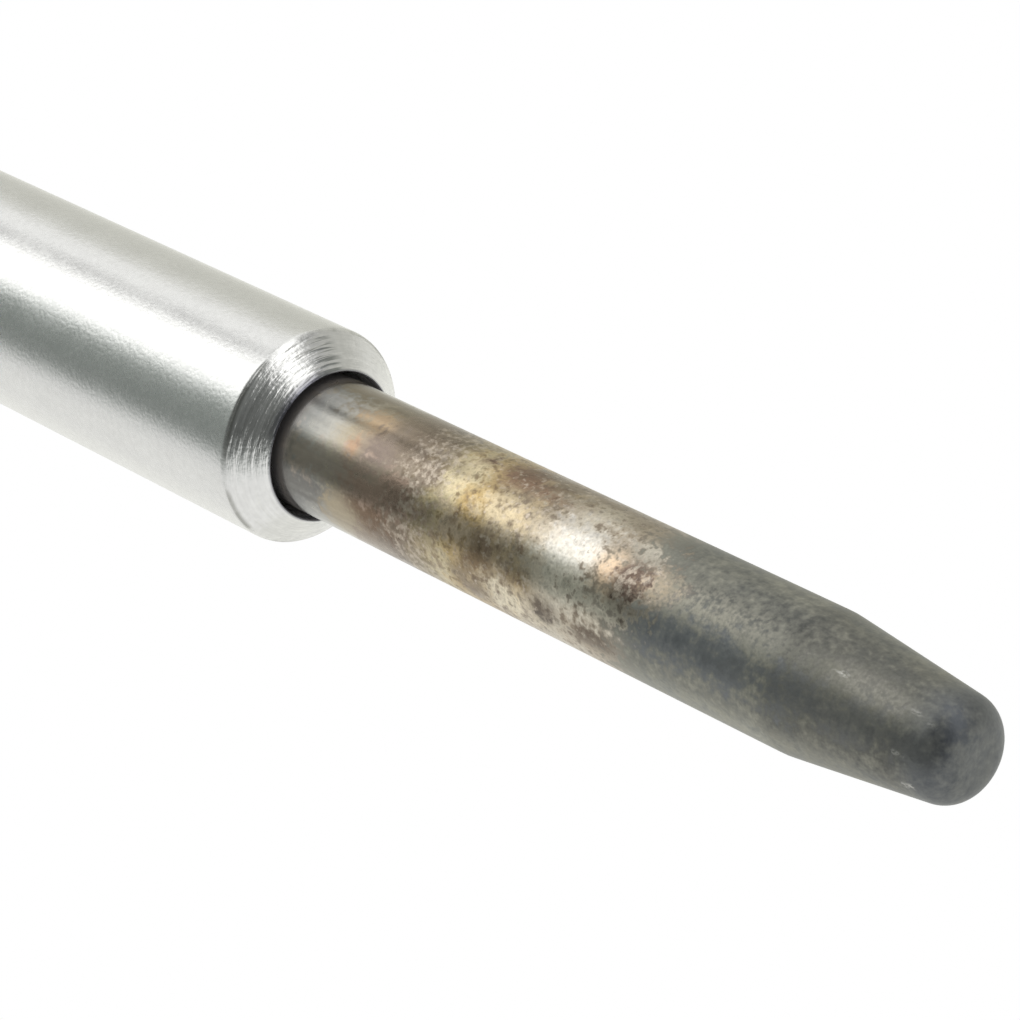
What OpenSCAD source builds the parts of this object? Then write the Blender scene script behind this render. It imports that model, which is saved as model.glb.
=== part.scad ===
// Sheathed-element glow plug for a diesel engine, lying on its side.
// The plug's axis runs along X with the hot tip at +X. The origin is on the axis, at the edge
// where the conical seat meets the shank, which is where such a plug's lengths are measured from.

/* [Glow tube] */
// Outside diameter of the glow tube
tube_d = 5; // [4.6:0.1:5.3]
// Wall of the glow tube
tube_wall = 0.75; // [0.6:0.05:0.85]
// Reach of the tip in front of the seat edge
tube_reach = 31.8; // [29:0.1:36]
// Length of the swaged end, from the start of its taper to the tip
taper_l = 6.7; // [5:0.1:8]
// Slope of the taper, to the axis, in degrees
taper_angle = 6.5; // [4:0.1:8]
// Radius of the rounded corner at the tip
tip_round = 1.2; // [0.6:0.05:1.3]
// Thickness of the closed end of the tube at the tip
tip_wall = 1.6; // [1:0.1:2.2]
// Depth behind the seat edge at which the tube's open end lies
tube_depth = 20; // [14:0.5:26]

/* [Shell] */
// Diameter of the shank
shank_d = 8; // [7.6:0.1:8.4]
// Length of the shank, from the seat edge to the thread
shank_l = 30; // [26:1:50]
// Included angle of the conical seat, in degrees, which runs to the edge of the mouth
seat_angle = 93; // [80:1:110]
// Bore at the mouth, which stands clear of the glow tube
mouth_d = 5.5; // [5.4:0.05:5.9]
// Depth of the clear mouth
mouth_l = 4; // [2:0.5:8]
// Major diameter of the mounting thread
thread_d = 10; // [9.6:0.1:11]
// Pitch of the mounting thread, which sets its lead-in
thread_pitch = 1.25; // [0.75:0.25:1.25]
// Length of the mounting thread
thread_l = 18; // [12:1:26]
// Diameter of the relief groove behind the thread
relief_d = 8.4; // [8.2:0.1:9]
// Length of the relief groove
relief_l = 1.6; // [1:0.1:3]
// Width of the hexagon across its flats
hex_af = 12; // [11:0.5:14]
// Length of the hexagon
hex_l = 9; // [6:0.5:14]
// Diameter of the round collar behind the hexagon
collar_d = 10.4; // [9.6:0.1:10.8]
// Length of the round collar
collar_l = 2; // [1:0.1:4]
// Bore behind the press fit, around the connecting pin
rear_bore_d = 5.6; // [5.4:0.1:6.2]
// Counterbore for the seal ring and the insulating bush
counterbore_d = 7.2; // [6.8:0.1:7.6]
// Depth of the counterbore
counterbore_l = 5; // [4:0.1:7]

/* [Connecting pin] */
// Diameter of the pin inside the glow tube
neck_d = 2.4; // [2.2:0.1:2.6]
// Reach of the pin's neck in front of the seat edge
neck_reach = 6; // [2:0.5:8]
// Length of the nose that carries the control coil
coil_seat_l = 1.4; // [0.8:0.1:2]
// Major diameter of the terminal thread on the pin
stud_d = 4; // [3.8:0.1:4.2]
// Pitch of the terminal thread
stud_pitch = 0.7; // [0.5:0.05:0.75]
// Length of the stud that stands out behind the terminal nut
stud_free_l = 4.5; // [2:0.5:9]

/* [Coils] */
// Radius of both coils, to the middle of the wire
coil_r = 0.95; // [0.85:0.01:1]
// Wire of the control coil
control_wire_d = 0.32; // [0.24:0.02:0.36]
// Pitch of the control coil
control_pitch = 0.78; // [0.6:0.02:0.9]
// Wire of the heating coil
heating_wire_d = 0.4; // [0.3:0.02:0.44]
// Pitch of the heating coil
heating_pitch = 1.05; // [0.8:0.05:1.3]
// Turns of the heating coil before it closes on the tip
heating_turns = 10; // [6:1:11]
// Length over which the heating coil closes on the tip
closing_l = 1.6; // [1.2:0.1:2.4]

/* [Seals and terminal] */
// Length of the tube seal inside the glow tube
seal_l = 4; // [2:0.5:6]
// Thickness of the seal's flange, between the tube's end and the pin
seal_flange_t = 1; // [0.6:0.1:1.6]
// Diameter of the insulating bush's flange
bush_flange_d = 8.8; // [8:0.1:9.6]
// Thickness of the insulating bush's flange
bush_flange_t = 1.8; // [1:0.1:3]
// Diameter of the round nut that clamps the bush
clamp_nut_d = 8; // [7:0.1:8.6]
// Height of the round clamp nut
clamp_nut_h = 4; // [3:0.1:6]
// Outside diameter of the lock washer
washer_d = 7.4; // [6.8:0.1:7.8]
// Thickness of the lock washer
washer_t = 0.9; // [0.6:0.1:1.2]
// Gap at the lock washer's split
washer_gap = 0.8; // [0.4:0.1:1.4]
// Width of the terminal nut across its flats
nut_af = 7; // [6.8:0.1:8]
// Height of the terminal nut
nut_h = 3.2; // [2.4:0.1:5]
// Radial clearance of the pieces that slide over the stud or into the counterbore
slip = 0.05; // [0.03:0.01:0.1]
// Chamfer on the edges of turned and plated pieces
edge_chamfer = 0.4; // [0.2:0.05:0.5]

/* [Hidden] */
$fn = 96;

zinc = [0.80, 0.80, 0.78];
heat_tinted = [0.40, 0.35, 0.29];
nickel = [0.72, 0.70, 0.66];
wire_steel = [0.55, 0.52, 0.50];
magnesia = [0.90, 0.88, 0.83];
black_rubber = [0.06, 0.06, 0.06];
bush_plastic = [0.10, 0.10, 0.11];

// How far a cutting or trimming solid runs past the face that it cuts
over = 1;
tube_r = tube_d / 2;
tube_inner_r = tube_r - tube_wall;
shank_r = shank_d / 2;
thread_r = thread_d / 2;

// Stations along the axis, from the tip back to the end of the stud
taper_z = tube_reach - taper_l;
cavity_z = tube_reach - tip_wall;
mouth_z = (shank_d - mouth_d) / 2 / tan(seat_angle / 2);
thread_z = -shank_l;
relief_z = thread_z - thread_l;
hex_z = relief_z - relief_l;
collar_z = hex_z - hex_l;
shell_end_z = collar_z - collar_l;
clamp_nut_z = shell_end_z - bush_flange_t;
washer_z = clamp_nut_z - clamp_nut_h;
nut_z = washer_z - washer_t;
nut_end_z = nut_z - nut_h;
stud_end_z = nut_end_z - stud_free_l;
pin_shoulder_z = -tube_depth - seal_flange_t;
seal_front_z = -tube_depth + seal_l;
ring_seat_z = shell_end_z + counterbore_l;

// Depth of a metric external thread, and the pitch diameter on which it meets its nut
function thread_depth(pitch) = 0.6134 * pitch;
function pitch_d(major_d, pitch) = major_d - 0.6495 * pitch;

// Radius of the glow tube's outside at a station on its taper
function taper_r(z) = tube_r - (z - taper_z) * tan(taper_angle);

// The terminal thread is rolled on the plain pin, which therefore has the thread's pitch diameter
pin_d = pitch_d(stud_d, stud_pitch);

// The seal ring fills the space between the pin and the counterbore
ring_wire_d = (counterbore_d - pin_d) / 2;
spigot_l = counterbore_l - ring_wire_d;

// The coils: straight steps to a turn, sides of the wire, and where each coil begins and ends
coil_steps = 14;
wire_sides = 6;
control_z = neck_reach + control_wire_d / 2;
heating_end_z = cavity_z - heating_wire_d / 2;
heating_z = heating_end_z - closing_l - heating_turns * heating_pitch;
control_turns = (heating_z - control_z) / control_pitch;
closing_turns = 1;
closed_coil_r = 0.35;
coil_seat_r = coil_r * cos(180 / coil_steps) - control_wire_d / 2;

// Lays the plug down, from an axis along Z to an axis along X
module lay() {
    rotate([0, 90, 0]) children();
}

// A hexagonal bar between two stations, with a flat facing down once the plug lies
module hex_bar(af, z_low, z_high) {
    translate([0, 0, z_low]) rotate([0, 0, 30]) cylinder(d = af / cos(30), h = z_high - z_low, $fn = 6);
}

// A hexagon with the 30 degree turned chamfers of a bolt head at both ends
module chamfered_hex(af, z_low, z_high) {
    corner_r = af / 2 / cos(30);
    face_r = af / 2 * 0.95;
    rise = (corner_r - face_r) * tan(30);
    intersection() {
        hex_bar(af, z_low, z_high);
        rotate_extrude() polygon([
            [0, z_low], [face_r, z_low], [corner_r, z_low + rise],
            [corner_r, z_high - rise], [face_r, z_high], [0, z_high]
        ]);
    }
}

// A wire wound about Z: one section for each step, each in the plane through the axis, so that two
// coils can meet end to end. The path is a list of [turn angle, coil radius, height].
module wound_wire(path, wire_d) {
    points = [for (p = path, k = [0 : wire_sides - 1])
        let (a = 360 * k / wire_sides, r = p[1] + wire_d / 2 * cos(a))
            [r * cos(p[0]), r * sin(p[0]), p[2] + wire_d / 2 * sin(a)]];
    last = (len(path) - 1) * wire_sides;
    sides = [for (i = [0 : len(path) - 2], k = [0 : wire_sides - 1])
        let (a = i * wire_sides + k, b = i * wire_sides + (k + 1) % wire_sides)
            each [[a, b, b + wire_sides], [a, b + wire_sides, a + wire_sides]]];
    rear_end = [[for (k = [wire_sides - 1 : -1 : 0]) k]];
    front_end = [[for (k = [0 : wire_sides - 1]) last + k]];
    polyhedron(points, concat(rear_end, sides, front_end));
}

// Turned steel body: conical seat, shank, thread, hexagon and collar in one piece, bored right through.
module shell() {
    lead_in = thread_depth(thread_pitch);
    color(zinc) lay() difference() {
        union() {
            rotate_extrude() polygon([
                [0, mouth_z], [mouth_d / 2, mouth_z], [shank_r, 0], [shank_r, thread_z],
                [thread_r - lead_in, thread_z], [thread_r, thread_z - lead_in],
                [thread_r, relief_z + lead_in], [thread_r - lead_in, relief_z],
                [relief_d / 2, relief_z], [relief_d / 2, hex_z - over], [0, hex_z - over]
            ]);
            chamfered_hex(hex_af, collar_z, hex_z);
            rotate_extrude() polygon([
                [0, collar_z + over], [collar_d / 2, collar_z + over],
                [collar_d / 2, shell_end_z + edge_chamfer],
                [collar_d / 2 - edge_chamfer, shell_end_z], [0, shell_end_z]
            ]);
        }
        rotate_extrude() polygon([
            [0, mouth_z + over], [mouth_d / 2, mouth_z + over], [mouth_d / 2, mouth_z - mouth_l],
            [tube_r, mouth_z - mouth_l], [tube_r, pin_shoulder_z], [rear_bore_d / 2, pin_shoulder_z],
            [rear_bore_d / 2, ring_seat_z], [counterbore_d / 2, ring_seat_z],
            [counterbore_d / 2, shell_end_z - over], [0, shell_end_z - over]
        ]);
    }
}

// Heat-resisting steel tube, swaged to a taper and closed with a rounded tip.
module glow_tube() {
    round_z = tube_reach - tip_round;
    round_r = taper_r(round_z) - tip_round / cos(taper_angle);
    tangent_z = round_z + tip_round * sin(taper_angle);
    inner_taper_z = taper_z - tube_wall * tan(taper_angle / 2);
    cavity_end_r = taper_r(cavity_z) - tube_wall / cos(taper_angle);
    color(heat_tinted) lay() difference() {
        rotate_extrude() intersection() {
            union() {
                polygon([
                    [0, -tube_depth], [tube_r, -tube_depth], [tube_r, taper_z],
                    [taper_r(tangent_z), tangent_z], [round_r, tube_reach], [0, tube_reach]
                ]);
                translate([round_r, round_z]) circle(tip_round);
            }
            translate([0, -tube_depth]) square([tube_d, tube_depth + tube_reach]);
        }
        rotate_extrude() polygon([
            [0, -tube_depth - over], [tube_inner_r, -tube_depth - over], [tube_inner_r, inner_taper_z],
            [cavity_end_r, cavity_z], [0, cavity_z]
        ]);
    }
}

// Path of the control coil, from the pin's nose forward to the heating coil
function control_path() = let (n = ceil(control_turns * coil_steps))
    [for (i = [0 : n]) let (t = control_turns * i / n)
        [360 * (t - control_turns), coil_r, control_z + t * control_pitch]];

// Path of the heating coil, which goes on from the control coil and closes in on the tip
function heating_path() = concat(
    [for (i = [0 : heating_turns * coil_steps]) let (t = i / coil_steps)
        [360 * t, coil_r, heating_z + t * heating_pitch]],
    [for (i = [1 : closing_turns * coil_steps]) let (t = i / (closing_turns * coil_steps))
        [360 * (heating_turns + closing_turns * t),
         coil_r + (closed_coil_r - coil_r) * t,
         heating_end_z - closing_l * (1 - t)]]);

// Heating wire in the tip, welded to the closed end of the tube.
module heating_coil() {
    color(wire_steel) lay() wound_wire(heating_path(), heating_wire_d);
}

// Control wire behind it, whose resistance rises as it warms.
module control_coil() {
    color(wire_steel) lay() wound_wire(control_path(), control_wire_d);
}

// Outline of the pin: coil seat, neck in the tube, body in the shell and nuts, and free end of the stud.
module pin_outline() {
    polygon([
        [0, neck_reach + coil_seat_l], [coil_seat_r, neck_reach + coil_seat_l], [coil_seat_r, neck_reach],
        [neck_d / 2, neck_reach], [neck_d / 2, pin_shoulder_z], [pin_d / 2, pin_shoulder_z],
        [pin_d / 2, nut_end_z], [stud_d / 2, nut_end_z],
        [stud_d / 2, stud_end_z + edge_chamfer], [stud_d / 2 - edge_chamfer, stud_end_z], [0, stud_end_z]
    ]);
}

// Steel pin that carries the current from the terminal to the coils.
module connecting_pin() {
    color(nickel) lay() rotate_extrude() pin_outline();
}

// Magnesia powder, packed hard round the coils and the pin's neck.
module filling_powder() {
    inner_taper_z = taper_z - tube_wall * tan(taper_angle / 2);
    cavity_end_r = taper_r(cavity_z) - tube_wall / cos(taper_angle);
    color(magnesia) lay() difference() {
        rotate_extrude() polygon([
            [neck_d / 2, seal_front_z], [tube_inner_r, seal_front_z], [tube_inner_r, inner_taper_z],
            [cavity_end_r, cavity_z], [0, cavity_z], [0, neck_reach + coil_seat_l],
            [coil_seat_r, neck_reach + coil_seat_l], [coil_seat_r, neck_reach], [neck_d / 2, neck_reach]
        ]);
        wound_wire(control_path(), control_wire_d);
        wound_wire(heating_path(), heating_wire_d);
    }
}

// Rubber plug that keeps damp out of the powder, held between the tube's open end and the pin's shoulder.
module tube_seal() {
    color(black_rubber) lay() rotate_extrude() polygon([
        [neck_d / 2, seal_front_z], [tube_inner_r, seal_front_z], [tube_inner_r, -tube_depth],
        [tube_r - slip, -tube_depth], [tube_r - slip, pin_shoulder_z], [neck_d / 2, pin_shoulder_z]
    ]);
}

// Rubber ring that seals the pin in the shell's counterbore.
module seal_ring() {
    color(black_rubber) lay() rotate_extrude()
        translate([(pin_d + counterbore_d) / 4, ring_seat_z - ring_wire_d / 2]) circle(d = ring_wire_d);
}

// Flanged plastic bush that insulates the pin from the shell and holds the seal ring down.
module insulating_bush() {
    hole_r = stud_d / 2 + slip;
    spigot_r = counterbore_d / 2 - slip;
    color(bush_plastic) lay() rotate_extrude() polygon([
        [hole_r, shell_end_z + spigot_l], [spigot_r, shell_end_z + spigot_l], [spigot_r, shell_end_z],
        [bush_flange_d / 2, shell_end_z], [bush_flange_d / 2, clamp_nut_z + edge_chamfer],
        [bush_flange_d / 2 - edge_chamfer, clamp_nut_z], [hole_r, clamp_nut_z]
    ]);
}

// Round nut that draws the pin tight against the bush.
module clamp_nut() {
    color(nickel) lay() rotate_extrude() polygon([
        [pin_d / 2, clamp_nut_z], [clamp_nut_d / 2 - edge_chamfer, clamp_nut_z],
        [clamp_nut_d / 2, clamp_nut_z - edge_chamfer], [clamp_nut_d / 2, washer_z + edge_chamfer],
        [clamp_nut_d / 2 - edge_chamfer, washer_z], [pin_d / 2, washer_z]
    ]);
}

// Split spring washer under the terminal nut.
module lock_washer() {
    split_slant = 20;
    color(nickel) lay() difference() {
        translate([0, 0, nut_z]) cylinder(d = washer_d, h = washer_t);
        translate([0, 0, nut_z - over]) cylinder(r = stud_d / 2 + slip, h = washer_t + 2 * over);
        translate([-washer_d / 2, 0, nut_z + washer_t / 2]) rotate([split_slant, 0, 0])
            cube([washer_d - stud_d, washer_gap, 4 * washer_t], center = true);
    }
}

// Hexagon nut that holds the supply lead's ring terminal.
module terminal_nut() {
    color(nickel) lay() difference() {
        chamfered_hex(nut_af, nut_end_z, nut_z);
        translate([0, 0, nut_end_z - over]) cylinder(d = pin_d, h = nut_h + 2 * over);
    }
}

shell();
glow_tube();
heating_coil();
control_coil();
filling_powder();
tube_seal();
connecting_pin();
seal_ring();
insulating_bush();
clamp_nut();
lock_washer();
terminal_nut();
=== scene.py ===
import math

import bpy
from mathutils import Matrix, Vector


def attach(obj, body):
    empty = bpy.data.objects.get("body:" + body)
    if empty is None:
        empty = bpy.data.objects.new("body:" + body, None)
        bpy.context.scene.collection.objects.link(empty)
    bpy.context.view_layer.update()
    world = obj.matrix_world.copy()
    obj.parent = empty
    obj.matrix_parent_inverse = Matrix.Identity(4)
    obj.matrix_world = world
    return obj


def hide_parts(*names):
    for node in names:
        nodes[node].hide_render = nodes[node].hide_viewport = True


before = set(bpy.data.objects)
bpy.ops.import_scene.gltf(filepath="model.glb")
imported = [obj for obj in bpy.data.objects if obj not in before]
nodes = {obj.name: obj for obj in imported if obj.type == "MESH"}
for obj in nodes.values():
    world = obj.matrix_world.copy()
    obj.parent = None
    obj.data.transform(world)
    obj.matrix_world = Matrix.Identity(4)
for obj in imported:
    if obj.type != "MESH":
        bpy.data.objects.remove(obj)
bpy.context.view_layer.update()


# Heating and control coils: two lengths of resistance wire, wound and welded end to end.
# They are sealed inside the glow tube, so their solids stay and only get the look of drawn wire.
class Tone:
    """One output of a finish's nodes. Arithmetic on it adds Math nodes."""

    def __init__(self, tree, socket):
        self.tree, self.socket = tree, socket

    def node(self, kind, settings, sockets, out=0):
        """Adds a node, with its settings first and then the values or links of its sockets."""
        made = self.tree.nodes.new(kind)
        for name, value in settings.items():
            if name == "stops":
                ramp = made.color_ramp.elements
                while len(ramp) < len(value):
                    ramp.new(0.5)
                for stop, (at, colour) in zip(ramp, value):
                    stop.position, stop.color = at, (*colour, 1)
            else:
                setattr(made, name, value)
        for name, value in sockets.items():
            if isinstance(value, Tone):
                self.tree.links.new(value.socket, made.inputs[name])
            else:
                made.inputs[name].default_value = value
        return Tone(self.tree, made.outputs[out])

    def also(self, out):
        """Another output of the same node."""
        return Tone(self.tree, self.socket.node.outputs[out])

    def math(self, operation, first, second=0.0):
        return self.node("ShaderNodeMath", {"operation": operation}, {0: first, 1: second})

    def __add__(self, other):
        return self.math("ADD", self, other)

    __radd__ = __add__

    def __sub__(self, other):
        return self.math("SUBTRACT", self, other)

    def __rsub__(self, other):
        return self.math("SUBTRACT", other, self)

    def __mul__(self, other):
        return self.math("MULTIPLY", self, other)

    __rmul__ = __mul__

    def rise(self, low, high):
        """Goes smoothly from 0 at low to 1 at high."""
        return self.node("ShaderNodeMapRange", {"interpolation_type": "SMOOTHSTEP"},
                         {"Value": self, "From Min": low, "From Max": high})

    def noise(self, scale, detail=2.0, roughness=0.5):
        """Cloudy noise at this place, with about so many lumps to the millimetre."""
        return self.node("ShaderNodeTexNoise", {},
                         {"Vector": self, "Scale": scale, "Detail": detail, "Roughness": roughness})

    def mottle(self, scale, detail=2.0, roughness=0.5):
        """The same noise about 0, mostly between -1 and 1."""
        return (self.noise(scale, detail, roughness) - 0.5) * 6

    def stretch(self, along, across):
        """This place scaled by one factor along the plug's axis and by another one across it."""
        return self.node("ShaderNodeVectorMath", {"operation": "MULTIPLY"},
                         {0: self, 1: (along, across, across)})

    def coat(self, colour, mask):
        """This colour with another one laid over it where the mask is 1."""
        over = colour if isinstance(colour, Tone) else (*colour, 1)
        return self.node("ShaderNodeMix", {"data_type": "RGBA"}, {0: mask, 6: self, 7: over}, out=2)

    def shade(self, amount):
        """This colour, lighter or darker by a factor."""
        return self.node("ShaderNodeVectorMath", {"operation": "SCALE"}, {0: self, "Scale": amount})

    def feed(self, shader, socket):
        self.tree.links.new(self.socket, shader.inputs[socket])

    def dent(self, shader):
        """Makes the surface uneven by this height, which is in millimetres."""
        self.node("ShaderNodeBump", {}, {"Height": self, "Distance": 0.001}).feed(shader, "Normal")


def finish_of(name, colour, roughness, metallic=0.0):
    """A new finish with its plain values, its shader, and the place on the piece in millimetres."""
    finish = bpy.data.materials.new(name)
    finish.use_nodes = True
    shader = finish.node_tree.nodes["Principled BSDF"]
    shader.inputs["Base Color"].default_value = (*colour, 1)
    shader.inputs["Roughness"].default_value = roughness
    shader.inputs["Metallic"].default_value = metallic
    at = Tone(finish.node_tree, None).node("ShaderNodeTexCoord", {}, {}, out="Object")
    return finish, shader, at.stretch(1000, 1000)


def wear(piece, finish):
    """Puts a finish on a piece as its only one."""
    piece.data.materials.clear()
    piece.data.materials.append(finish)


for coil, colour in (("heating_coil", (0.30, 0.28, 0.26)), ("control_coil", (0.56, 0.53, 0.48))):
    drawn_wire, shader, at = finish_of(coil + "_wire", colour, 0.4, 1.0)
    (at.noise(6, 3) * 0.3 + 0.25).feed(shader, "Roughness")
    wear(nodes[coil], drawn_wire)


# Connecting pin: a turned steel rod, nickel-plated, that takes the current to the coils.
# Its rear end carries the rolled M4 thread of the terminal, which stands free behind the nut.
def drawn(name, outline, closed):
    """Draws an outline, as distances along the axis and radii in millimetres, point by point."""
    bpy.ops.object.select_all(action="DESELECT")
    bpy.ops.mesh.primitive_plane_add(size=0.001, enter_editmode=True)
    piece = bpy.context.object
    piece.name = piece.data.name = name
    points = [Vector((x, 0, r)) / 1000 for x, r in outline]
    bpy.ops.mesh.merge(type="CENTER")
    bpy.ops.transform.translate(value=points[0])
    for here, there in zip(points, points[1:]):
        bpy.ops.mesh.extrude_region_move(TRANSFORM_OT_translate={"value": there - here})
    bpy.ops.object.mode_set(mode="OBJECT")
    if closed:
        ends = 0, len(piece.data.vertices) - 1
        for vertex in piece.data.vertices:
            vertex.select = vertex.index in ends
        bpy.ops.object.mode_set(mode="EDIT")
        bpy.ops.mesh.edge_face_add()
        bpy.ops.object.mode_set(mode="OBJECT")
    return piece


def clean(piece):
    """Closes the seams and the poles of a piece and turns its faces outwards."""
    bpy.ops.object.mode_set(mode="EDIT")
    bpy.ops.mesh.select_all(action="SELECT")
    bpy.ops.mesh.remove_doubles(threshold=2e-7)
    bpy.ops.mesh.normals_make_consistent(inside=False)
    bpy.ops.object.mode_set(mode="OBJECT")
    return piece


def turned(name, outline, closed=False, steps=128):
    """Spins an outline round the plug's axis, as on a lathe."""
    piece = drawn(name, outline, closed)
    bpy.ops.object.mode_set(mode="EDIT")
    bpy.ops.mesh.select_all(action="SELECT")
    bpy.ops.mesh.spin(steps=steps, angle=math.tau, center=(0, 0, 0), axis=(1, 0, 0))
    bpy.ops.object.mode_set(mode="OBJECT")
    return clean(piece)


def cut(piece, tool, operation):
    """Joins a tool to a piece, cuts it out of it, or keeps what both hold."""
    bpy.ops.object.select_all(action="DESELECT")
    bpy.context.view_layer.objects.active = piece
    step = piece.modifiers.new("cut", "BOOLEAN")
    step.operation, step.object, step.solver = operation, tool, "EXACT"
    bpy.ops.object.modifier_apply(modifier=step.name)
    bpy.data.meshes.remove(tool.data)
    return clean(piece)


def thread(name, major_r, pitch, rear, front, rear_lead, front_lead):
    """A right-handed ridge with 60 degree flanks, trimmed to a chamfered blank, and the radius of its root.

    The ridge reaches a little below the root, and the blank stands clear of its crest and foot, so that no
    faces lie in one another when the ridge is joined to its piece."""
    depth = 0.6134 * pitch
    sunk = depth + 0.1 * pitch
    crest = pitch / 16
    foot = crest + sunk * math.tan(math.radians(30))
    start, crest_edge_r, foot_r = rear - pitch, major_r - 0.5 * crest, major_r - sunk
    ridge = drawn(name, [
        (start - foot, foot_r), (start - 1.5 * crest, crest_edge_r), (start - crest / 2, major_r),
        (start + crest / 2, major_r), (start + 1.5 * crest, crest_edge_r), (start + foot, foot_r)], True)
    screw = ridge.modifiers.new("wind", "SCREW")
    screw.axis, screw.angle, screw.screw_offset = "X", math.tau, pitch / 1000
    screw.steps = screw.render_steps = 48
    screw.iterations = math.ceil((front - rear) / pitch) + 2
    bpy.ops.object.modifier_apply(modifier=screw.name)
    bpy.ops.object.mode_set(mode="EDIT")
    bpy.ops.mesh.select_all(action="SELECT")
    bpy.ops.mesh.fill_holes(sides=0)
    bpy.ops.mesh.quads_convert_to_tris()
    bpy.ops.object.mode_set(mode="OBJECT")
    clean(ridge)
    clear = 0.1
    inner_r, outer_r = foot_r - clear, major_r + clear
    blank = turned(name + "_blank", [
        (rear, inner_r), (rear, major_r - rear_lead), (rear + rear_lead + clear, outer_r),
        (front - front_lead - clear, outer_r), (front, major_r - front_lead), (front, inner_r)], True)
    return cut(ridge, blank, "INTERSECT"), major_r - depth


def shown(piece, node, finish):
    """Shades a finished piece, gives it its finish, and puts it in the place of its solid."""
    bpy.ops.object.select_all(action="DESELECT")
    piece.select_set(True)
    bpy.context.view_layer.objects.active = piece
    bpy.ops.object.shade_smooth_by_angle(angle=math.radians(30))
    wear(piece, finish)
    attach(piece, "root")
    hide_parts(node)


nickel_plating, shader, at = finish_of("nickel_plating", (0.66, 0.62, 0.55), 0.3, 1.0)
(at.noise(1.3, 4) * 0.22 + at.noise(14, 2) * 0.12 + 0.13).feed(shader, "Roughness")
(0.006 * at.stretch(9, 0.8).noise(1, 2)).dent(shader)

stud_r, stud_pitch = 2.0, 0.7
nut_fit_r = 1.7727
neck_r, rod_r, rod_end, stud_at, pin_end = 0.766, 1.2, -21, -70.5, -75
stud_ridge, stud_root = thread("stud_thread", stud_r, stud_pitch, -74.98, -70.05, 0.41, 0.35)
pin = turned("pin", [
    (7.4, 0), (7.4, neck_r), (6, neck_r), (6, rod_r), (rod_end, rod_r), (rod_end, nut_fit_r),
    (stud_at, nut_fit_r), (stud_at, stud_root), (-74.97, stud_root), (pin_end, stud_root - 0.03),
    (pin_end, 0)])
shown(cut(pin, stud_ridge, "UNION"), "connecting_pin", nickel_plating)


# Filling powder: magnesia, packed hard round the coils and the pin's neck when the tube is swaged.
# It never shows, so its solid stays, with the look of a pressed white powder.
magnesia, shader, at = finish_of("pressed_magnesia", (0.86, 0.84, 0.79), 0.9)
grains = at.noise(18, 3)
(grains * 0.1 + 0.85).feed(shader, "Roughness")
(0.02 * grains).dent(shader)
wear(nodes["filling_powder"], magnesia)


# Tube seal and seal ring: black rubber mouldings that keep damp and gas out, one in the open end
# of the glow tube and one in the shell's counterbore. Both are shut in, so their solids stay.
black_rubber, shader, at = finish_of("black_rubber", (0.022, 0.022, 0.023), 0.6)
(at.noise(5, 4) * 0.25 + 0.45).feed(shader, "Roughness")
(0.01 * at.noise(12, 3)).dent(shader)
wear(nodes["tube_seal"], black_rubber)
wear(nodes["seal_ring"], black_rubber)


# Glow tube: heat-resisting steel, swaged to a taper and closed at the tip, pressed into the shell.
# Running hot has tinted it in bands of straw, copper and brown, and left dark oxide on the tip.
def arc(x, r, radius, start, end, steps):
    """The points of a rounded edge. An angle of 0 faces outwards and a quarter turn faces the tip."""
    angles = [start + (end - start) * k / steps for k in range(steps + 1)]
    return [(x + radius * math.sin(a), r + radius * math.cos(a)) for a in angles]


tube_r, tube_bore_r, tail_at, bore_end = 2.5, 1.75, -20, 30.2
taper_at, tip_at, tip_round, slope = 25.1, 31.8, 1.2, math.radians(6.5)
round_at = tip_at - tip_round
round_r = tube_r - (round_at - taper_at) * math.tan(slope) - tip_round / math.cos(slope)
nose = arc(round_at, round_r, tip_round, math.radians(90), slope, 14)
swaged = [(26.2, 2.375), (25.4, 2.464), (taper_at, 2.494), (24.8, tube_r), (23.5, tube_r)]
tail = [(-19.9, tube_r), (tail_at, 2.4), (tail_at, tube_bore_r)]
tube_bore = [(25.06, tube_bore_r), (bore_end, 1.164), (bore_end, 0)]
glow_tube = turned("tube", [(tip_at, 0), (tip_at, 0.3), *nose, *swaged, *tail, *tube_bore], steps=192)

tinted_steel, shader, at = finish_of("heat_tinted_steel", (0.36, 0.33, 0.26), 0.3, 1.0)
shader.inputs["IOR"].default_value = 2.2
along = at.node("ShaderNodeSeparateXYZ", {}, {0: at})
broad, cloud = at.mottle(0.25), at.mottle(0.8, 4, 0.6)
lumps, grain = at.mottle(3.2, 2, 0.55), at.mottle(8, 1)
baked = 0.35 + 0.65 * along.rise(4, 8)
ragged = 0.4 * cloud + 0.3 * lumps


def spot(place, turn, length, width):
    """1 in a ragged spot round a place on the tube, turned from the top towards the camera, 0 outside it."""
    a = math.radians(turn)
    r = tube_r - max(0, place - taper_at) * math.tan(slope)
    centre = (place, -r * math.sin(a), r * math.cos(a))
    off = at.node("ShaderNodeVectorMath", {"operation": "SUBTRACT"}, {0: at, 1: centre})
    off = off.stretch(1 / length, 1 / width)
    far = off.node("ShaderNodeVectorMath", {"operation": "LENGTH"}, {0: off}, out="Value")
    return (far + ragged).rise(1.45, 0.3)


def belt(start, end):
    """1 all round the tube between two places on the axis, with ragged ends."""
    place = along + 0.5 * cloud + 0.3 * lumps
    return place.rise(start - 0.5, start + 0.5) * place.rise(end + 0.5, end - 0.5)


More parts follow.
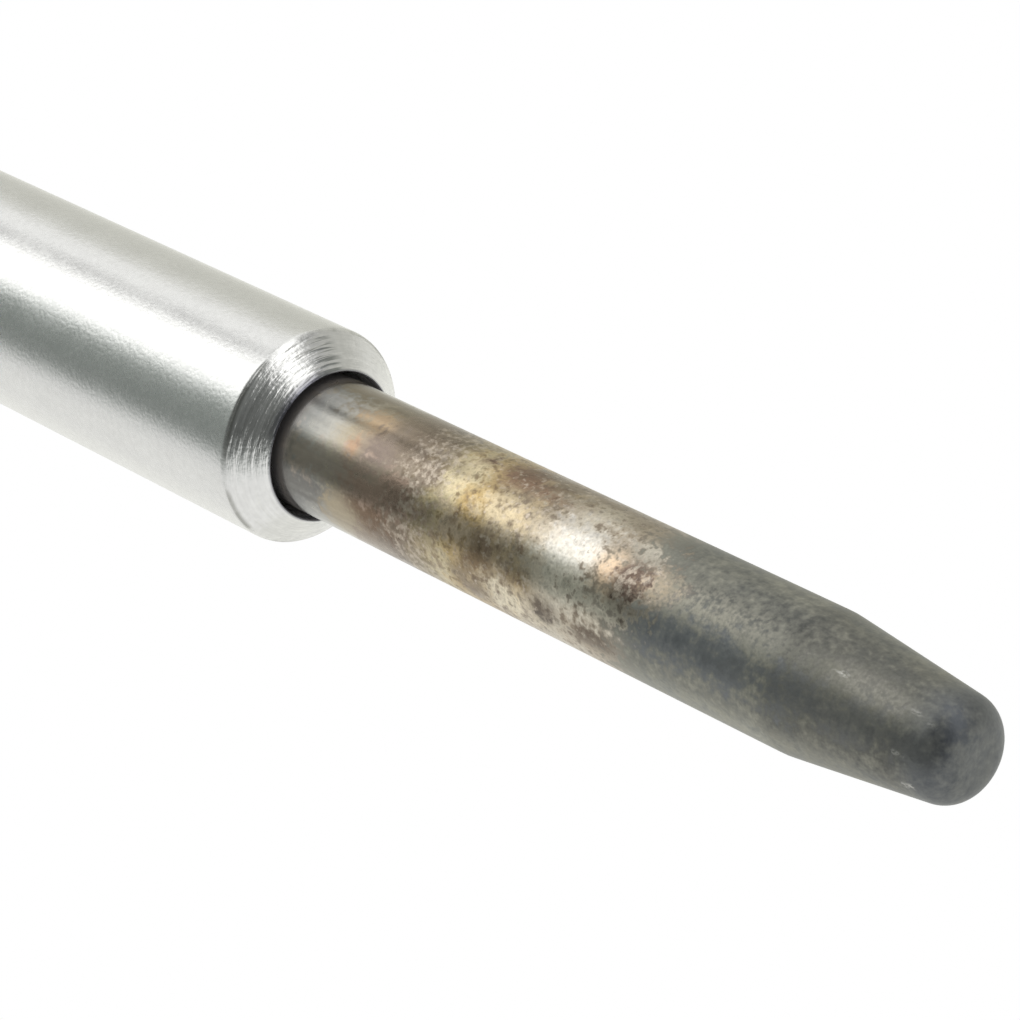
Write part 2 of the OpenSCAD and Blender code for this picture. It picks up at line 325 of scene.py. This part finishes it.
# The tints follow the tube from the mouth to the tip, each at its distance along the axis.
tint_span = 32
heat_tints = (
    (2.2, (0.25, 0.25, 0.235)), (3.4, (0.38, 0.37, 0.33)), (4.4, (0.38, 0.33, 0.24)),
    (5.5, (0.31, 0.25, 0.19)), (6.5, (0.29, 0.24, 0.19)), (7.5, (0.33, 0.275, 0.21)),
    (8.5, (0.43, 0.36, 0.24)), (9.5, (0.53, 0.45, 0.28)), (10.5, (0.51, 0.39, 0.20)),
    (11.6, (0.49, 0.37, 0.20)), (12.6, (0.50, 0.41, 0.28)), (13.6, (0.51, 0.43, 0.31)),
    (15.4, (0.58, 0.53, 0.43)), (16.8, (0.49, 0.42, 0.32)), (18.5, (0.39, 0.335, 0.26)))
drift = along + 0.4 * broad + (0.6 * cloud + 0.35 * lumps) * baked
tint = drift.node("ShaderNodeValToRGB",
                  {"stops": [(place / tint_span, colour) for place, colour in heat_tints]},
                  {0: drift * (1 / tint_span)})
for place, turn, length, width, colour in (
        (2.9, 93, 1.6, 1.0, (0.20, 0.195, 0.18)), (4.2, -20, 4.0, 1.3, (0.26, 0.22, 0.155)),
        (4.8, 18, 0.8, 0.6, (0.46, 0.345, 0.22)), (4.5, 50, 0.35, 0.65, (0.40, 0.275, 0.185)),
        (5.7, 44, 0.9, 0.9, (0.23, 0.185, 0.155)), (6.0, 90, 1.6, 0.8, (0.20, 0.14, 0.095)),
        (3.2, 69, 2.8, 0.7, (0.40, 0.345, 0.29)), (6.6, 5, 1.2, 1.2, (0.26, 0.21, 0.155)),
        (8.0, 44, 1.0, 1.1, (0.30, 0.25, 0.195)), (9.8, 24, 0.9, 1.2, (0.66, 0.57, 0.37)),
        (10.8, 46, 0.8, 0.7, (0.54, 0.38, 0.15)), (11.8, 5, 1.8, 0.8, (0.27, 0.18, 0.12)),
        (12.0, 40, 1.3, 0.8, (0.67, 0.56, 0.37)), (12.0, 72, 1.5, 0.7, (0.33, 0.25, 0.175)),
        (11.6, 96, 0.8, 0.9, (0.28, 0.205, 0.125)), (13.5, 86, 0.8, 0.6, (0.36, 0.28, 0.17)),
        (13.1, -14, 0.8, 0.7, (0.30, 0.235, 0.155)), (14.8, -20, 2.6, 0.9, (0.33, 0.27, 0.19)),
        (12.9, 108, 1.6, 0.7, (0.80, 0.72, 0.55)), (15.6, 47, 1.5, 1.3, (0.80, 0.76, 0.68)),
        (14.7, 100, 0.7, 0.5, (0.16, 0.13, 0.10)), (17.2, 104, 0.9, 0.5, (0.26, 0.215, 0.165)),
        (16.6, 73, 2.4, 0.8, (0.80, 0.74, 0.61)), (17.2, 47, 0.7, 0.8, (0.74, 0.57, 0.40)),
        (18.4, 46, 0.8, 1.0, (0.17, 0.125, 0.10)), (18.3, 20, 0.8, 0.5, (0.56, 0.52, 0.43)),
        (9.6, 108, 0.8, 0.6, (0.62, 0.54, 0.36)), (11.0, 110, 0.9, 0.7, (0.34, 0.27, 0.18)),
        (4.4, 106, 1.0, 0.9, (0.39, 0.335, 0.24)), (6.8, 69, 2.2, 0.7, (0.40, 0.295, 0.23)),
        (10.1, 70, 1.0, 0.6, (0.62, 0.50, 0.36))):
    tint = tint.coat(colour, spot(place, turn, length, width))

# Over the tints lie brown and straw stains, crust, pale scale, and painted shade at the gap at the mouth.
rough = along.rise(5.5, 7.5)
stain = at.mottle(1.5, 3, 0.6)
brown, straw = (0.23, 0.16, 0.105), (0.66, 0.53, 0.33)
tint = tint.coat(brown, 0.6 * belt(8.5, 14.5) * stain.rise(0.3, 1.2))
tint = tint.coat(straw, 0.4 * belt(8.0, 14.0) * stain.rise(-0.2, -1.0))
crust_brown = (0.15, 0.105, 0.075)
crust = 0.7 * belt(6.2, 9.2) + 0.5 * belt(10.0, 14.4) + 0.5 * belt(16.0, 19.5)
crust = crust + 0.3 * spot(13.3, 16, 1.6, 1.0) + 0.5 * spot(16.9, 60, 1.0, 0.5)
crust = crust + 0.4 * spot(16.0, 102, 1.6, 0.7)
crust = (lumps + 0.4 * grain + crust - 1.2 * spot(15.4, 46, 1.3, 1.1)).rise(0.2, 1.9) * rough
tint = tint.shade(1 - 0.45 * crust).coat(crust_brown, 0.4 * crust)
pale_scale = (0.62, 0.54, 0.44)
pale = at.mottle(4.5, 2, 0.6) + 0.7 * belt(6.8, 9.0) + 0.3 * belt(11.5, 14.5)
pale = pale + 0.7 * spot(18.8, 46, 1.5, 1.0)
tint = tint.coat(pale_scale, 0.6 * rough * pale.rise(0.3, 1.7))
polish = at.stretch(0.4, 4).mottle(1, 3) * (1 - rough)
tint = tint.shade(1 + 0.1 * cloud * baked + 0.09 * polish + (0.02 + 0.1 * rough) * (lumps + grain))
# Painted shade at the shell's mouth: a brown gradient on the tube out to 2 mm, and near-black on it in the
# gap.
mouth_shade_brown, gap_shade_black = (0.15, 0.13, 0.115), (0.05, 0.048, 0.05)
tint = tint.coat(mouth_shade_brown, 0.8 * (along - 0.1 * lumps).rise(2.0, 1.2))
tint = tint.coat(gap_shade_black, 0.8 * along.rise(1.45, 1.0))

# The tip's oxide and soot: dust and a painted highlight along the top, blue-grey along the side, and
# scratched bare in places.
oxide = (along + 0.45 * cloud + 0.4 * lumps + 0.15 * grain - 1.5 * spot(19.2, 42, 2.2, 1.2)
         - 0.9 * spot(18.3, 20, 0.7, 0.5) - 0.6 * spot(18.3, 72, 1.0, 0.6)).rise(17.0, 19.1)
dark_soot, light_soot = (0.13, 0.135, 0.118), (0.27, 0.265, 0.215)
soot = tint.node("ShaderNodeValToRGB", {"stops": [(0.0, dark_soot), (1.0, light_soot)]},
                 {0: 0.5 + 0.3 * cloud + 0.2 * lumps})
# Painted shade and light on the tip: the soot is darker from where the taper starts, as the taper turns from
# the lights, lighter at the top and below the side towards the camera, and darker on the upper flank, on the
# side towards the camera and at the bottom near the end; it is also darker at the very end.
soot = soot.shade(0.98 + 0.05 * lumps + 0.04 * grain
                  - 0.22 * along.rise(24.3, 25.3) - 0.25 * along.rise(30.1, 31.5)
                  + 0.25 * spot(28.5, -24, 4.0, 0.9) - 0.2 * spot(30.5, 100, 1.6, 1.2)
                  - 0.15 * spot(27.5, 19, 3.8, 0.7) - 0.1 * spot(27.5, 92, 3.8, 0.6)
                  - 0.1 * spot(22.8, 32, 2.8, 1.0) + 0.24 * spot(24.5, 120, 8.0, 0.55))
specks = (0.3 + 0.4 * cloud + 0.5 * lumps + 0.5 * grain).rise(-0.6, 1.3)
# A light dust colour laid along the line of the main highlight, partly dust and partly painted highlight.
top_dust_and_highlight, taper_dust_and_highlight = (0.40, 0.375, 0.30), (0.37, 0.355, 0.30)
soot = soot.coat(top_dust_and_highlight, 0.6 * spot(21.2, 42, 3.6, 0.8) * specks)
soot = soot.coat(taper_dust_and_highlight, spot(28.2, 42, 2.2, 0.6) * (0.35 + 0.3 * specks))
blue_band, grey_band, end_patch = (0.145, 0.162, 0.182), (0.185, 0.188, 0.18), (0.07, 0.08, 0.095)
soot = soot.coat(blue_band, 0.65 * spot(21.3, 72, 4.7, 0.9) + 0.4 * along.rise(29.5, 31.0))
soot = soot.coat(grey_band, 0.6 * spot(27.6, 71, 4.0, 0.7))
soot = soot.coat(end_patch, 0.7 * spot(31.5, 34, 0.5, 0.8))
soot = soot.shade(1 + 0.05 * lumps + 0.04 * grain)
bare_steel = (0.6, 0.59, 0.54)
scuff = at.stretch(0.6, 1).mottle(11, 2).rise(-0.7, 0.6)
for place, turn, length, width, bare in (
        (27.2, 39.5, 0.5, 0.09, 0.9), (30.3, 40, 0.35, 0.09, 0.4), (30.9, 43, 0.25, 0.12, 0.3),
        (30.1, 82, 0.25, 0.09, 0.35), (30.4, 116, 0.25, 0.14, 0.7)):
    soot = soot.coat(bare_steel, bare * spot(place, turn, length, width) * scuff)
tan_scale = (0.52, 0.42, 0.29)
tint = tint.coat(soot, oxide).coat(tan_scale, 0.8 * spot(19.6, 42, 0.9, 0.7) * specks)
tint.feed(shader, "Base Color")
((1 - 0.3 * oxide) * along.rise(1.1, 1.8)).feed(shader, "Metallic")
(0.2 + 0.13 * along.rise(3.5, 8.5) + 0.04 * cloud + 0.03 * lumps + 0.11 * oxide).feed(shader, "Roughness")
(0.002 * lumps * rough + 0.0004 * grain).dent(shader)
shown(glow_tube, "glow_tube", tinted_steel)


# Shell: one turned and drilled piece of steel with a satin zinc plating. The nose ends in the conical
# seat with its turning marks; behind the long shank come the rolled mounting thread, its relief
# groove, the hexagon and the round collar into which the bush is fitted.
def hexagon(name, across, rear, front):
    """A hexagonal bar with a flat facing down and the turned chamfers of a bolt head."""
    corner, face = across / 2 / math.cos(math.radians(30)), across / 2 * 0.95
    chamfer = (corner - face) * math.tan(math.radians(30))
    spare_length, edge_round = 0.002, 0.00012
    bpy.ops.object.select_all(action="DESELECT")
    bpy.ops.mesh.primitive_cylinder_add(
        vertices=6, radius=corner / 1000, depth=(front - rear) / 1000 + spare_length,
        location=((rear + front) / 2000, 0, 0), rotation=(0, math.pi / 2, 0))
    bar = bpy.context.object
    bar.name = bar.data.name = name
    bpy.ops.object.transform_apply(location=True, rotation=True, scale=True)
    bpy.ops.object.mode_set(mode="EDIT")
    bpy.ops.mesh.bevel(offset=edge_round, segments=3, affect="EDGES")
    bpy.ops.object.mode_set(mode="OBJECT")
    blank = turned(name + "_blank", [(rear, 0), (rear, face), (rear + chamfer, corner),
                                     (front - chamfer, corner), (front, face), (front, 0)])
    return cut(bar, blank, "INTERSECT")


thread_r, thread_pitch, thread_rear, thread_front, thread_lead = 5.0, 1.25, -48.0, -30.0, 0.81
shell_ridge, shell_root = thread("shell_thread", thread_r, thread_pitch, thread_rear, thread_front,
                                 thread_lead, thread_lead)
shank_r, mouth_at, mouth_r, seat_tilt = 4.0, 1.186, 2.75, math.radians(46.5)
edge_r, lip_r = 0.3, 0.03
lip_at = mouth_at - lip_r / math.tan(seat_tilt / 2)
lip = arc(lip_at, mouth_r + lip_r, lip_r, math.pi, seat_tilt, 9)
seat_edge = arc(-edge_r * math.tan(seat_tilt / 2), shank_r - edge_r, edge_r, seat_tilt, 0, 6)
seat = [*lip, (0.5, 3.4731), *seat_edge]
shank = [(-0.5, shank_r), (-29.5, shank_r), (-30.02, shank_r)]
thread_core = [(-30.02, shell_root), (-48.02, shell_root)]
relief_groove = [(-48.05, 4.2), (-49.4, 4.2), (-49.53, 4.25), (-49.65, 4.38), (-49.75, 4.5)]
collar = [(-57.6, 4.5), (-57.6, 5.2), (-60.2, 5.2), (-60.6, 4.8)]
counterbore = [(-60.6, 3.6), (-55.6, 3.6)]
shell_bore = [(-55.6, 2.8), (-21, 2.8), (-21, 2.501), (-2.814, 2.501), (-2.814, mouth_r), (0.8, mouth_r)]
shell = turned("shell_body", [
    *seat, *shank, *thread_core, *relief_groove, *collar, *counterbore, *shell_bore], True, steps=192)
cut(shell, shell_ridge, "UNION")
hexagon_bore = turned("hexagon_bore", [(-48, 0), (-48, 4.2), (-60, 4.2), (-60, 0)], steps=192)
shell_hexagon = hexagon("shell_hexagon", 12.0, -58.6, -49.6)
cut(shell, cut(shell_hexagon, hexagon_bore, "DIFFERENCE"), "UNION")

zinc_plating, shader, at = finish_of("satin_zinc_plating", (0.76, 0.76, 0.735), 0.27, 1.0)
along = at.node("ShaderNodeSeparateXYZ", {}, {0: at})
sideways, upwards = along.also("Y"), along.also("Z")
radius = at.node("ShaderNodeVectorMath", {"operation": "LENGTH"}, {0: at.stretch(0, 1)}, out="Value")


def turning(rings, spread):
    """A place on the seat in which noise draws out into the rings of turning marks."""
    return at.node("ShaderNodeCombineXYZ", {}, {0: rings * radius, 1: spread * sideways, 2: spread * upwards})


marks, fine = turning(9, 0.9).noise(1, 3), turning(15, 0.5).mottle(1, 2)
satin, cloudy = at.mottle(7, 1), at.mottle(0.6, 3)
in_bore = radius.rise(2.8, 2.76)
on_seat = along.rise(0.0, 0.12) * (1 - in_bore)
edge = along.rise(-0.06, 0.03) * along.rise(0.17, 0.06)
rim = radius.rise(2.87, 2.79) * along.rise(0.6, 0.8)
burr = radius.rise(2.92, 2.97) * radius.rise(3.04, 2.98)
# Painted shade on the lip round the mouth, on its upper side towards the camera.
lip_shade = radius.rise(3.06, 2.88) * on_seat * sideways.rise(0.3, -0.6) * upwards.rise(0.6, 1.8)
matt = sideways.rise(-0.8, -1.8) * upwards.rise(-0.2, 0.8)
# Where the turning marks near the top of the seat, just past its highlight, get painted dark reflections.
streak_reflection_zone = sideways.rise(-0.7, -0.1) * sideways.rise(1.0, 0.35) * upwards.rise(1.8, 2.6)
worn_edge, rim_stain_and_lip_shade, streak_reflection_grey = (0.30, 0.30, 0.27), (0.20, 0.20, 0.23), (0.20, 0.215, 0.205)
plating = at.node("ShaderNodeRGB", {}, {})
plating.socket.default_value = (0.765, 0.765, 0.745, 1)
plating = plating.coat(worn_edge, 0.75 * edge * at.mottle(0.7, 3).rise(-0.6, 0.6))
# A dark blue-grey stain on the rim round the mouth, and the same colour as painted shade on the lip's upper
# side.
plating = plating.coat(rim_stain_and_lip_shade, 0.7 * rim + 0.7 * lip_shade)
# Painted dark reflections along the turning marks near the top of the seat.
plating = plating.coat(streak_reflection_grey, 0.8 * on_seat * streak_reflection_zone * fine.rise(-0.2, 0.6))
plating = plating.shade(1 + 0.02 * cloudy + 0.03 * at.mottle(4, 2) + on_seat * fine * (0.03 + 0.15 * matt))
plating.feed(shader, "Base Color")
(1 - in_bore).feed(shader, "Metallic")
(0.27 + 0.02 * cloudy + 0.03 * satin - 0.09 * on_seat).feed(shader, "Roughness")
(0.0012 * satin + on_seat * (0.055 * marks + 0.006 * burr)).dent(shader)
shown(shell, "shell", zinc_plating)


# Insulating bush: black moulded plastic, slipped over the stud into the shell's counterbore.
# Its flange stands between the collar and the round nut and keeps the current off the shell.
bush_plastic, shader, at = finish_of("bush_plastic", (0.03, 0.03, 0.032), 0.4)
(at.noise(2, 4) * 0.2 + 0.3).feed(shader, "Roughness")
(0.006 * at.noise(9, 3)).dent(shader)
clearance_r = 2.05
sleeve = [(-57.43, clearance_r), (-57.43, 3.45), (-57.53, 3.55), (-60.6, 3.55)]
flange = [(-60.6, 4.3), (-60.7, 4.4), (-62.0, 4.4), (-62.12, 4.37), (-62.37, 4.12), (-62.4, 4.0)]
bush = turned("bush", [*sleeve, *flange, (-62.4, clearance_r)], True)
shown(bush, "insulating_bush", bush_plastic)


# Clamp nut, lock washer and terminal nut: nickel-plated steel. The round nut draws the pin tight, and the
# split washer and the hexagon nut behind it hold the ring terminal of the supply lead.
clamp_nut = turned("round_nut", [
    (-62.4, nut_fit_r), (-62.4, 3.6), (-62.45, 3.68), (-62.72, 3.95), (-62.8, 4.0),
    (-66.0, 4.0), (-66.08, 3.95), (-66.35, 3.68), (-66.4, 3.6), (-66.4, nut_fit_r)], True)
shown(clamp_nut, "clamp_nut", nickel_plating)

washer = turned("split_washer", [
    (-66.4, clearance_r), (-66.4, 3.6), (-66.5, 3.7), (-67.2, 3.7), (-67.3, 3.6), (-67.3, clearance_r)], True)
slit_size, slit_slant = (0.0036, 0.0008, 0.0034), math.radians(-20)
bpy.ops.object.select_all(action="DESELECT")
bpy.ops.mesh.primitive_cube_add(size=1, location=(-0.06685, 0, 0.0037), rotation=(0, 0, slit_slant))
slit = bpy.context.object
slit.scale = slit_size
bpy.ops.object.transform_apply(location=True, rotation=True, scale=True)
shown(cut(washer, slit, "DIFFERENCE"), "lock_washer", nickel_plating)

sink_r = 2.6216
nut = hexagon("hexagon_nut", 7.0, stud_at, -67.3)
nut_bore = turned("nut_bore", [
    (-71, 0), (-71, sink_r), (-70.1, nut_fit_r), (-67.7, nut_fit_r), (-66.8, sink_r), (-66.8, 0)])
shown(cut(nut, nut_bore, "DIFFERENCE"), "terminal_nut", nickel_plating)


# Studio: a white light table under the plug, which lies on its hexagon and the rim of its seat, long soft
# lights above it on both sides of the axis, and the camera of the photograph.
table_tilt = math.atan2(2.0, 49.77)
bpy.ops.object.select_all(action="DESELECT")
bpy.ops.mesh.primitive_plane_add(size=6, location=(0, 0, -0.004), rotation=(0, -table_tilt, 0))
table = bpy.context.object
table.name = "light_table"
table.visible_glossy = False
glow, shader, at = finish_of("table_glow", (0, 0, 0), 1.0)
shader.inputs["Specular IOR Level"].default_value = 0
shader.inputs["Emission Color"].default_value = (1, 1, 1, 1)
shader.inputs["Emission Strength"].default_value = 1
table.data.materials.append(glow)

# A light is an angle round the plug's axis from the top, a level, and a cast: warm above 0, cool below it.
behind = (
    (-180, 0.97, 0.4), (-125, 1.05, 0.5), (-108, 1.0, 0.8), (-98, 0.75, 1), (-80, 0.66, 1), (-55, 0.64, 1),
    (-40, 0.76, 0.7), (-30, 1.05, 0), (-12, 1.15, 0), (-8, 1.0, 0), (-5, 0.45, 0), (-1, 0.45, 0),
    (3, 0.9, 0), (8, 1.35, 0), (12, 1.6, 0), (43, 1.6, 0), (50, 1.2, -0.2), (56, 0.62, -0.4),
    (63, 0.32, -0.6), (90, 0.25, -0.6), (106, 0.27, -0.5), (115, 0.56, -0.3), (122, 0.86, 0),
    (145, 0.93, 0.2))
front = (
    (-180, 0.91, 0.4), (-165, 0.88, 0.5), (-145, 0.86, 0.6), (-110, 0.98, 0.5), (-92, 0.86, 0.5),
    (-81, 0.75, 0.6), (-69, 0.57, 0.8), (-48, 0.55, 0.6), (-40, 0.48, 0.3), (-32, 0.52, 0),
    (-26, 0.85, 0), (-20, 1.4, 0), (-14, 1.6, 0), (-3, 1.6, 0), (3, 1.2, 0), (9, 0.65, 0), (16, 0.3, -0.2),
    (29, 0.19, -0.3), (41, 0.165, -0.3), (60, 0.14, -0.3), (84, 0.13, -0.3), (94, 0.16, -0.3),
    (104, 0.25, -0.3), (112, 0.5, -0.2), (122, 0.83, -0.1), (134, 0.96, 0), (160, 0.95, 0.1))
brightest = 1.6
studio = bpy.data.worlds.new("studio")
studio.use_nodes = True
bpy.context.scene.world = studio
sky = studio.node_tree.nodes["Background"]
way = Tone(studio.node_tree, None).node("ShaderNodeTexCoord", {}, {}, out="Generated")
side = way.node("ShaderNodeSeparateXYZ", {}, {0: way})
turn = side.math("ARCTAN2", 0 - side.also("Y"), side.also("Z")) * (0.5 / math.pi) + 0.5
panels = []
for lights in behind, front:
    stops = []
    for angle, level, warm in lights:
        cast = Vector((1 + 0.14 * min(warm, 0), 1, 1 - 0.08 * abs(warm)))
        stops.append(((angle + 180) / 360, cast * level / brightest))
    panels.append(turn.node("ShaderNodeValToRGB", {"stops": stops}, {0: turn}))
around = panels[0].coat(panels[1], side.rise(-0.42, -0.12))
seen = turn.node("ShaderNodeLightPath", {}, {}, out="Is Camera Ray")
around.coat((1 / brightest,) * 3, seen).feed(sky, "Color")
sky.inputs["Strength"].default_value = brightest

lens = bpy.data.cameras.new("camera")
lens.lens, lens.sensor_width = 155.013, 36
lens.clip_start, lens.clip_end = 0.01, 20
camera = bpy.data.objects.new("camera", lens)
stand = Matrix.Translation((0.108909, -0.089552, 0.065407))
right, up = Vector((0.67298, 0.73966, 0)), Vector((-0.32284, 0.29374, 0.89972))
ahead = Vector((-0.66548, 0.60549, -0.43647))
camera.matrix_world = stand @ Matrix((right, up, -ahead)).transposed().to_4x4()
bpy.context.collection.objects.link(camera)
bpy.context.scene.camera = camera
bpy.context.scene.view_settings.view_transform = "Standard"
